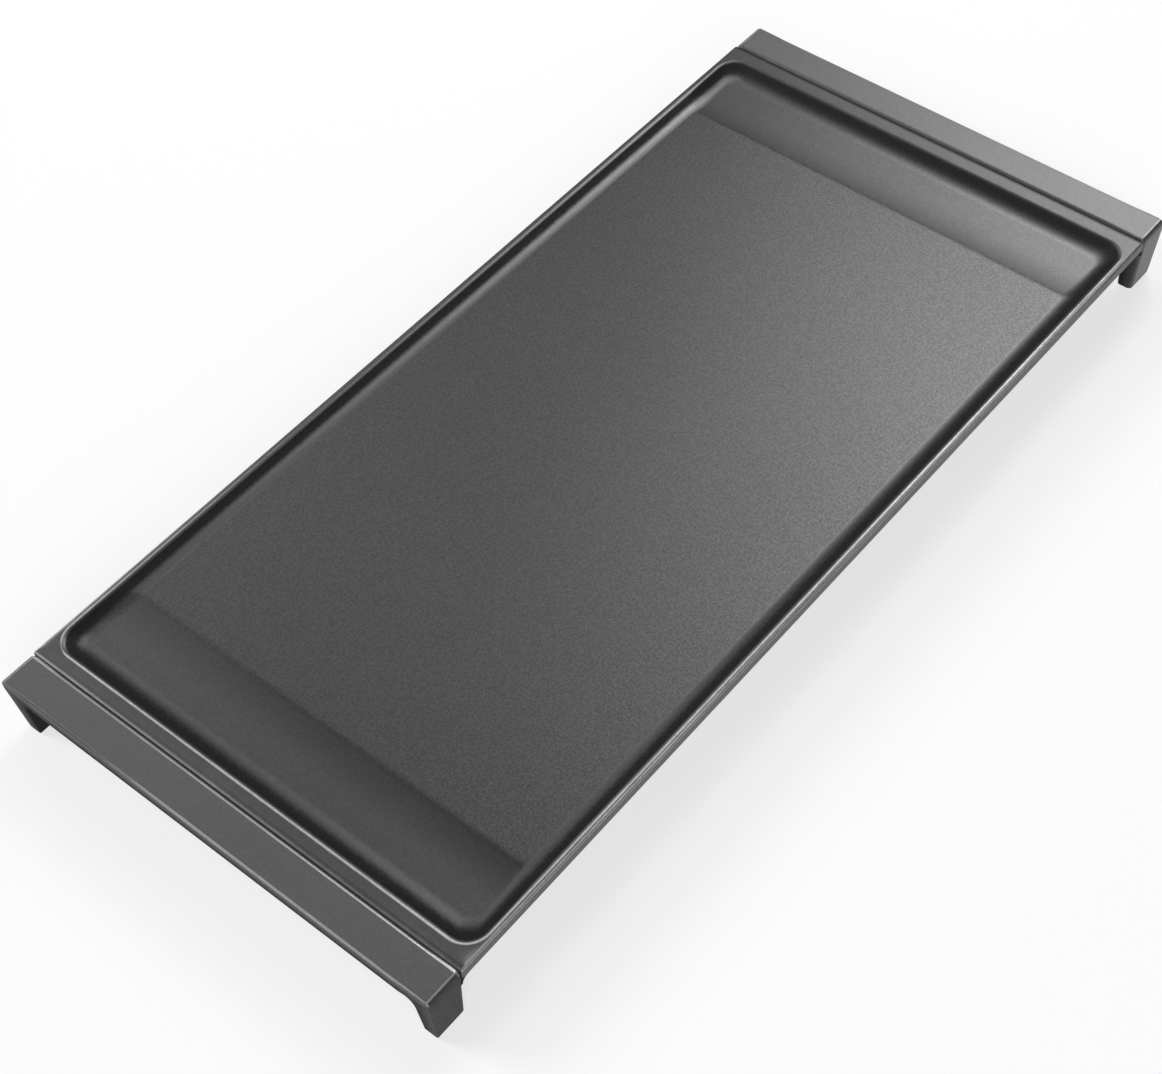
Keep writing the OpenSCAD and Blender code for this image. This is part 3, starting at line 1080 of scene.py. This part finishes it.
@dataclass
class Value:
    """A shader socket that takes part in Python expressions; each operator adds one Math node."""

    tree: "Shader"
    socket: bpy.types.NodeSocket

    def _math(self, operation: str, a: object, b: object) -> "Value":
        """Adds a Math node with the two operands."""
        return self.tree.node("ShaderNodeMath", {"operation": operation}, {0: a, 1: b})

    def __add__(self, other: object) -> "Value":
        """Sum."""
        return self._math("ADD", self, other)

    __radd__ = __add__

    def __mul__(self, other: object) -> "Value":
        """Product."""
        return self._math("MULTIPLY", self, other)

    __rmul__ = __mul__

    def __sub__(self, other: object) -> "Value":
        """Difference."""
        return self._math("SUBTRACT", self, other)

    def __rsub__(self, other: object) -> "Value":
        """Difference, with the plain number first."""
        return self._math("SUBTRACT", other, self)

    def between(self, low: float, high: float) -> "Value":
        """Smooth step from 0 at low to 1 at high."""
        return self.tree.node("ShaderNodeMapRange", {"interpolation_type": "SMOOTHSTEP"},
                              {"Value": self, "From Min": low, "From Max": high})


class Shader:
    """A material under construction, with one method that makes every node."""

    # Numbers of the Mix node's sockets for colours, which share their names with those for numbers
    MIX_FACTOR, MIX_FIRST, MIX_SECOND, MIX_RESULT = 0, 6, 7, 2

    def __init__(self, name: str) -> None:
        """Starts a material that has only its Principled surface and its output.

        Args:
            name: name of the material.
        """
        self.material = bpy.data.materials.new(name)
        self.material.use_nodes = True
        self.nodes = self.material.node_tree.nodes
        self.links = self.material.node_tree.links
        self.surface = next(n for n in self.nodes if n.type == "BSDF_PRINCIPLED")

    def feed(self, socket: bpy.types.NodeSocket, value: object) -> None:
        """Links a wrapped socket to an input, or sets a plain value on it.

        Args:
            socket: input of a node.
            value: wrapped socket, number or colour.
        """
        if isinstance(value, Value):
            self.links.new(value.socket, socket)
        else:
            socket.default_value = value

    def node(self, kind: str, settings: dict, inputs: dict, output: Union[int, str] = 0) -> Value:
        """Adds a node.

        Args:
            kind: type name of the node.
            settings: properties set before its sockets are used.
            inputs: values or wrapped sockets by input name or number.
            output: name or number of the output to wrap.

        Returns:
            The wrapped output socket.
        """
        made = self.nodes.new(kind)
        for key, value in settings.items():
            setattr(made, key, value)
        for key, value in inputs.items():
            self.feed(made.inputs[key], value)
        return Value(self, made.outputs[output])

    def place(self) -> Value:
        """Position on the piece, in metres."""
        return self.node("ShaderNodeTexCoord", {}, {}, "Object")

    def share(self, name: str) -> Value:
        """A share stored on the piece's points."""
        return self.node("ShaderNodeAttribute", {"attribute_name": name}, {}, "Fac")

    def noise(self, cloud: Cloud) -> Value:
        """Cloudy noise from 0 to 1 over the piece."""
        return self.node("ShaderNodeTexNoise", {}, {"Vector": self.place(), "Scale": cloud.scale,
                                                    "Detail": cloud.detail, "Roughness": cloud.rough}, "Fac")

    def mix(self, factor: object, first: object, second: object) -> Value:
        """Colour between two colours."""
        inputs = {self.MIX_FACTOR: factor, self.MIX_FIRST: first, self.MIX_SECOND: second}
        return self.node("ShaderNodeMix", {"data_type": "RGBA"}, inputs, self.MIX_RESULT)

    def bump(self, height: Value, relief: Relief) -> Value:
        """Normal tilted by a height field."""
        return self.node("ShaderNodeBump", {}, {"Height": height, "Strength": relief.strength,
                                                "Distance": relief.distance})

    def cover(self, factor: Value, layer: Value) -> None:
        """Mixes a share of another surface over the Principled one.

        Args:
            factor: share of the other surface.
            layer: the other surface.
        """
        base = Value(self, self.surface.outputs[0])
        mixed = self.node("ShaderNodeMixShader", {}, {0: factor, 1: base, 2: layer})
        output = next(n for n in self.nodes if n.type == "OUTPUT_MATERIAL")
        self.links.new(mixed.socket, output.inputs["Surface"])

    def set(self, **sockets: object) -> None:
        """Feeds inputs of the Principled surface; an underscore stands for a space."""
        for key, value in sockets.items():
            self.feed(self.surface.inputs[key.replace("_", " ")], value)


def rgba(grey: float, tint: Sequence[float] = (1.0, 1.0, 1.0)) -> tuple:
    """A tinted grey as a colour with full alpha."""
    return tuple(grey * t for t in tint) + (1.0,)


# Finishes

@dataclass(frozen=True)
class GriddleCoating:
    """Dark satin coating on cast metal: pebbled on the cooking face, smoother on rails, rubbed on edges with
    painted highlight, and with a dull dark layer that paints shade.
    """

    name: str = Slot.COATING.value
    dark: float = 0.010
    light: float = 0.018
    smooth_lift: float = 0.085
    clouds: Cloud = Cloud(9.0, 4.0, 0.55)
    cloud_share: float = 0.55
    flecks: Cloud = Cloud(1300.0, 3.0, 0.6)
    fleck_share: float = 0.45
    tone_range: tuple = (0.25, 0.75)
    pebbles: Cloud = Cloud(1300.0, 4.0, 0.7)
    pebble_relief: Relief = Relief(0.55, 0.00014)
    relief_from: float = 0.85
    relief_share: float = 0.9
    relief_rest: float = 0.1
    # Rubbed edges, which also paint highlights: lighter, partly metallic and smoother
    rubbed_and_highlight: float = 0.5
    rubbed_and_highlight_metal: float = 0.6
    scuffs: Cloud = Cloud(160.0, 5.0, 0.65)
    scuff_share: float = 0.5
    patches: Cloud = Cloud(35.0, 2.0)
    patch_share: float = 0.3
    rub_and_highlight_rest: float = 0.45
    rub_and_highlight_range: tuple = (0.2, 0.8)
    rough_low: float = 0.31
    rough_span: float = 0.06
    rough_smooth: float = 0.1
    rough_rubbed_and_highlight: float = 0.04
    shine: float = 1.0
    specks: Cloud = Cloud(980.0, 2.0, 0.6)
    speck_range: tuple = (0.35, 0.65)
    speck_share: float = 0.22
    speck_rest: float = 0.12
    # Dull dark layer that paints shade
    shade_grey: float = 0.011
    shade_rough: float = 0.7
    shade_shine: float = 0.15
    shade_grains: Cloud = Cloud(2400.0, 2.0, 0.6)
    shade_relief: Relief = Relief(0.5, 0.00014)

    def build(self) -> bpy.types.Material:
        """Makes the material from object coordinates and the piece's own shares of grain, of wear with
        painted highlight and of painted shade.

        Returns:
            The material of the plate and the rails.
        """
        s = Shader(self.name)
        grain, wear_and_highlight = s.share("grain"), s.share("wear_and_highlight")
        relief = grain.between(self.relief_from, 1.0)
        tone = s.noise(self.clouds) * self.cloud_share + s.noise(self.flecks) * self.fleck_share
        tone = tone.between(*self.tone_range)
        pebbled = s.mix(tone, rgba(self.dark), rgba(self.light))
        smooth = s.mix(tone, rgba(self.dark + self.smooth_lift), rgba(self.light + self.smooth_lift))
        scuffed = s.noise(self.scuffs) * self.scuff_share + s.noise(self.patches) * self.patch_share
        # Share of rubbed edge with painted highlight, broken up by scuffs
        rub_and_highlight = (wear_and_highlight * (scuffed + self.rub_and_highlight_rest)).between(*self.rub_and_highlight_range)
        rough = self.rough_low + tone * self.rough_span
        height = s.noise(self.pebbles) * (relief * self.relief_share + self.relief_rest)
        s.set(Base_Color=s.mix(rub_and_highlight, s.mix(grain, smooth, pebbled), rgba(self.rubbed_and_highlight)),
              Metallic=rub_and_highlight * self.rubbed_and_highlight_metal,
              Roughness=rough + (1.0 - grain) * self.rough_smooth - rub_and_highlight * self.rough_rubbed_and_highlight,
              Normal=s.bump(height, self.pebble_relief))
        s.set(Specular_IOR_Level=self.shine)
        # Dull dark layer of painted shade, mixed over the coating by its share and by random specks
        dull = s.node("ShaderNodeBsdfPrincipled", {}, {
            "Base Color": rgba(self.shade_grey), "Roughness": self.shade_rough,
            "Specular IOR Level": self.shade_shine,
            "Normal": s.bump(s.noise(self.shade_grains), self.shade_relief)})
        specks = s.noise(self.specks).between(*self.speck_range)
        s.cover(s.share("painted_shade") + specks * (relief * self.speck_share + self.speck_rest), dull)
        return s.material


@dataclass(frozen=True)
class ZincSteel:
    """Zinc-plated steel of the screws and washers, faintly mottled and scratched."""

    name: str = Slot.ZINC.value
    dull: float = 0.42
    bright: float = 0.62
    tint: tuple = (0.98, 0.99, 1.0)
    mottle: Cloud = Cloud(420.0, 4.0, 0.6)
    mottle_range: tuple = (0.3, 0.7)
    rough_low: float = 0.28
    rough_span: float = 0.2
    scratches: Cloud = Cloud(2600.0, 2.0)
    relief: Relief = Relief(0.15, 0.00005)

    def build(self) -> bpy.types.Material:
        """Makes the material from object coordinates.

        Returns:
            The material of the screws and washers.
        """
        s = Shader(self.name)
        mottle = s.noise(self.mottle)
        tone = mottle.between(*self.mottle_range)
        s.set(Base_Color=s.mix(tone, rgba(self.dull, self.tint), rgba(self.bright, self.tint)),
              Roughness=self.rough_low + mottle * self.rough_span,
              Normal=s.bump(s.noise(self.scratches), self.relief))
        s.set(Metallic=1.0)
        return s.material


@dataclass(frozen=True)
class BlackSilicone:
    """Matte black silicone of the foot pads, with a fine moulded grain and dust in it."""

    name: str = Slot.SILICONE.value
    dark: float = 0.012
    dusty: float = 0.03
    dust: Cloud = Cloud(300.0, 4.0, 0.6)
    dust_range: tuple = (0.4, 0.8)
    rough_low: float = 0.62
    rough_span: float = 0.2
    moulding: Cloud = Cloud(3000.0, 2.0)
    relief: Relief = Relief(0.2, 0.00006)

    def build(self) -> bpy.types.Material:
        """Makes the material from object coordinates.

        Returns:
            The material of the foot pads.
        """
        s = Shader(self.name)
        dust = s.noise(self.dust)
        s.set(Base_Color=s.mix(dust.between(*self.dust_range), rgba(self.dark), rgba(self.dusty)),
              Roughness=self.rough_low + dust * self.rough_span,
              Normal=s.bump(s.noise(self.moulding), self.relief))
        return s.material


@dataclass(frozen=True)
class PaleFloor:
    """White studio floor: it shows as white to the eye and in reflections, less the object's shadow."""

    name: str = "pale_floor"
    colour: float = 0.97
    rough: float = 0.9
    glow: float = 1.0
    glow_share: float = 0.66

    def build(self) -> bpy.types.Material:
        """Makes the material: lit floor mixed with plain white on camera, glossy and transmission rays.

        Returns:
            The material of the floor.
        """
        s = Shader(self.name)
        s.set(Base_Color=rgba(self.colour), Roughness=self.rough)
        s.set(Specular_IOR_Level=0.0)
        camera, glossy, through = (s.node("ShaderNodeLightPath", {}, {}, kind) for kind in
                                   ("Is Camera Ray", "Is Glossy Ray", "Is Transmission Ray"))
        white = s.node("ShaderNodeEmission", {}, {"Color": rgba(1.0), "Strength": self.glow})
        s.cover((camera + glossy + through) * self.glow_share, white)
        return s.material


# Studio

@dataclass(frozen=True)
class SoftBox:
    """A square area lamp that faces the middle of the plate.

    It is placed by its azimuth from X and its elevation, in degrees, and its distance in metres.
    """

    name: str
    azimuth: float
    elevation: float
    distance: float
    size: float
    radiance: float

    def build(self) -> None:
        """Adds the lamp; its power follows from the radiance of its face."""
        lamp = bpy.data.lights.new(self.name, "AREA")
        lamp.shape = "SQUARE"
        lamp.size = self.size
        lamp.energy = self.radiance * math.pi * self.size ** 2
        lamp_object = bpy.data.objects.new(self.name, lamp)
        az, el = math.radians(self.azimuth), math.radians(self.elevation)
        direction = Vector((math.cos(az) * math.cos(el), math.sin(az) * math.cos(el), math.sin(el)))
        lamp_object.location = direction * self.distance
        lamp_object.rotation_euler = direction.to_track_quat("Z", "Y").to_euler()
        bpy.context.collection.objects.link(lamp_object)


@dataclass
class Studio:
    """Camera, floor, lamps and world light. Angles are degrees, the eye millimetres, the lens pixels."""

    azimuth: float = -47.308
    elevation: float = 52.261
    roll: float = -4.45
    eye_mm: tuple = (-443.93, -417.14, 731.96)
    focal_px: float = 2245.2
    centre_px: tuple = (644.2, 562.8)
    sensor: float = 36.0
    near_clip: float = 0.01
    floor_half: float = 6.0
    world_grey: float = 0.05
    lamps: tuple = (
        SoftBox("key_box", 10.0, 46.0, 1.8, 0.55, 6.9),
        SoftBox("key_lower", 22.0, 40.0, 1.8, 0.55, 1.85),
        SoftBox("key_upper", 22.0, 50.0, 1.8, 0.55, 2.9),
        SoftBox("key_crown", 26.0, 60.0, 1.8, 0.55, 1.3),
        SoftBox("key_skirt", 5.0, 28.0, 1.8, 0.60, 1.8),
        SoftBox("top_box", 45.0, 63.0, 2.0, 0.70, 0.9),
        SoftBox("side_lower", 66.0, 35.0, 2.0, 0.80, 1.0),
        SoftBox("side_upper", 76.0, 44.0, 2.0, 0.80, 1.1),
        SoftBox("back_box", 118.0, 35.0, 3.0, 1.10, 11.7),
        SoftBox("fill_box", 230.0, 31.4, 2.2, 1.40, 4.2),
    )

    def camera(self) -> None:
        """Sets the camera at the photograph's eye, with its lens, roll and framing."""
        az, el, roll = (math.radians(v) for v in (self.azimuth, self.elevation, self.roll))
        back = Vector((math.sin(az) * math.cos(el), -math.cos(az) * math.cos(el), math.sin(el)))
        right = (-back).cross(Vector((0.0, 0.0, 1.0))).normalized()
        up = back.cross(right)
        turned_right = right * math.cos(roll) + up * math.sin(roll)
        turned_up = up * math.cos(roll) - right * math.sin(roll)
        data = bpy.data.cameras.new("photo_camera")
        data.sensor_width = self.sensor
        data.lens = self.focal_px * self.sensor / PHOTO_W
        data.shift_x = (PHOTO_W / 2 - self.centre_px[0]) / PHOTO_W
        data.shift_y = (self.centre_px[1] - PHOTO_H / 2) / PHOTO_W
        data.clip_start = self.near_clip
        camera = bpy.data.objects.new("photo_camera", data)
        axes = Matrix((turned_right, turned_up, back)).transposed().to_4x4()
        camera.matrix_world = Matrix.Translation(Vector(self.eye_mm) * MM) @ axes
        bpy.context.collection.objects.link(camera)
        bpy.context.scene.camera = camera

    def floor(self) -> None:
        """Lays the floor that the foot pads stand on."""
        h = self.floor_half
        mesh = bpy.data.meshes.new("floor")
        mesh.from_pydata([(-h, -h, 0.0), (h, -h, 0.0), (h, h, 0.0), (-h, h, 0.0)], [], [(0, 1, 2, 3)])
        floor = bpy.data.objects.new("floor", mesh)
        mesh.materials.append(PaleFloor().build())
        bpy.context.collection.objects.link(floor)

    def world(self) -> None:
        """Faint even light from all round."""
        world = bpy.data.worlds.new("studio")
        world.use_nodes = True
        back = next(n for n in world.node_tree.nodes if n.type == "BACKGROUND")
        back.inputs["Color"].default_value = rgba(1.0)
        back.inputs["Strength"].default_value = self.world_grey
        bpy.context.scene.world = world

    def build(self) -> None:
        """Sets up camera, floor, lamps and world."""
        self.camera()
        self.floor()
        self.world()
        for lamp in self.lamps:
            lamp.build()
        bpy.context.scene.view_settings.view_transform = "Standard"


# Object

@dataclass
class Griddle:
    """All pieces of the object, with the finishes that they share.

    The gap at the groove is in millimetres, and the far rail's wear with painted highlight and the legs'
    painted shade are shares.
    """

    seam_gap: float = 0.05
    # The far rail has less wear and painted highlight on its edges, and its legs less painted shade, than
    # the near one
    far_wear_and_highlight: float = 0.1
    near_leg_shade: float = 0.7
    far_leg_shade: float = 0.1
    finishes: dict = field(init=False)

    def __post_init__(self) -> None:
        """Builds the three finishes once."""
        self.finishes = {Slot.COATING: GriddleCoating().build(), Slot.ZINC: ZincSteel().build(),
                         Slot.SILICONE: BlackSilicone().build()}

    def dress(self, piece: bpy.types.Object, slot: Slot, node: str) -> None:
        """Gives a new piece its finish and lets it stand for a node of the frame.

        Args:
            piece: object to dress.
            slot: slot of the record whose finish it takes.
            node: name of the node that it stands for.
        """
        piece.data.materials.append(self.finishes[slot])
        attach(piece, ROOT)
        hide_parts(node)
        LOG.info("made %s with %d faces for %s", piece.name, len(piece.data.polygons), node)

    def plate(self) -> CookingPlate:
        """Makes the cooking plate in the place of its node.

        Returns:
            Sizes of the plate, which the rails are fitted to.
        """
        _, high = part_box("griddle_plate")
        sizes = CookingPlate(high[0] / MM, high[1] / MM, high[2] / MM)
        self.dress(add_piece("cooking_plate", sizes.surface()), Slot.COATING, "griddle_plate")
        return sizes

    def rails(self, plate: CookingPlate) -> None:
        """Makes both end rails in the places of their nodes; the far one has less wear and painted
        highlight, its legs less painted shade.

        Args:
            plate: sizes of the plate that the rails are screwed to.
        """
        for end in End:
            node = f"{end.word}_end_rail"
            low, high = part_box(node)
            near = end is End.LEFT
            rail = EndRail(
                end=end, inner_x=plate.half_x + self.seam_gap, outer_x=max(abs(low[0]), abs(high[0])) / MM,
                half_y=high[1] / MM, top=high[2] / MM, foot_z=low[2] / MM,
                screw_x=plate.half_x - plate.screw_in, screw_pitch=plate.screw_pitch,
                tab_top=plate.under - plate.boss_h, worn_and_highlight=1.0 if near else self.far_wear_and_highlight,
                leg_shade=self.near_leg_shade if near else self.far_leg_shade)
            self.dress(add_piece(f"{end.word}_rail", rail.surface()), Slot.COATING, node)

    def hardware(self) -> None:
        """Dresses the screws, washers and foot pads, whose solids already have their shape."""
        kinds = {"screws": Slot.ZINC, "washers": Slot.ZINC, "pad": Slot.SILICONE}
        for name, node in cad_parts.items():
            slot = kinds.get(name.split("_")[-1])
            if slot is None:
                continue
            node.data.materials.clear()
            node.data.materials.append(self.finishes[slot])
            LOG.info("dressed %s as %s", name, slot.value)

    def build(self) -> None:
        """Makes every piece in order."""
        self.rails(self.plate())
        self.hardware()


def main() -> None:
    """Builds the studio and the griddle."""
    logging.basicConfig(level=logging.INFO, format="%(name)s: %(message)s")
    Studio().build()
    Griddle().build()


if __name__ == "__main__":
    main()
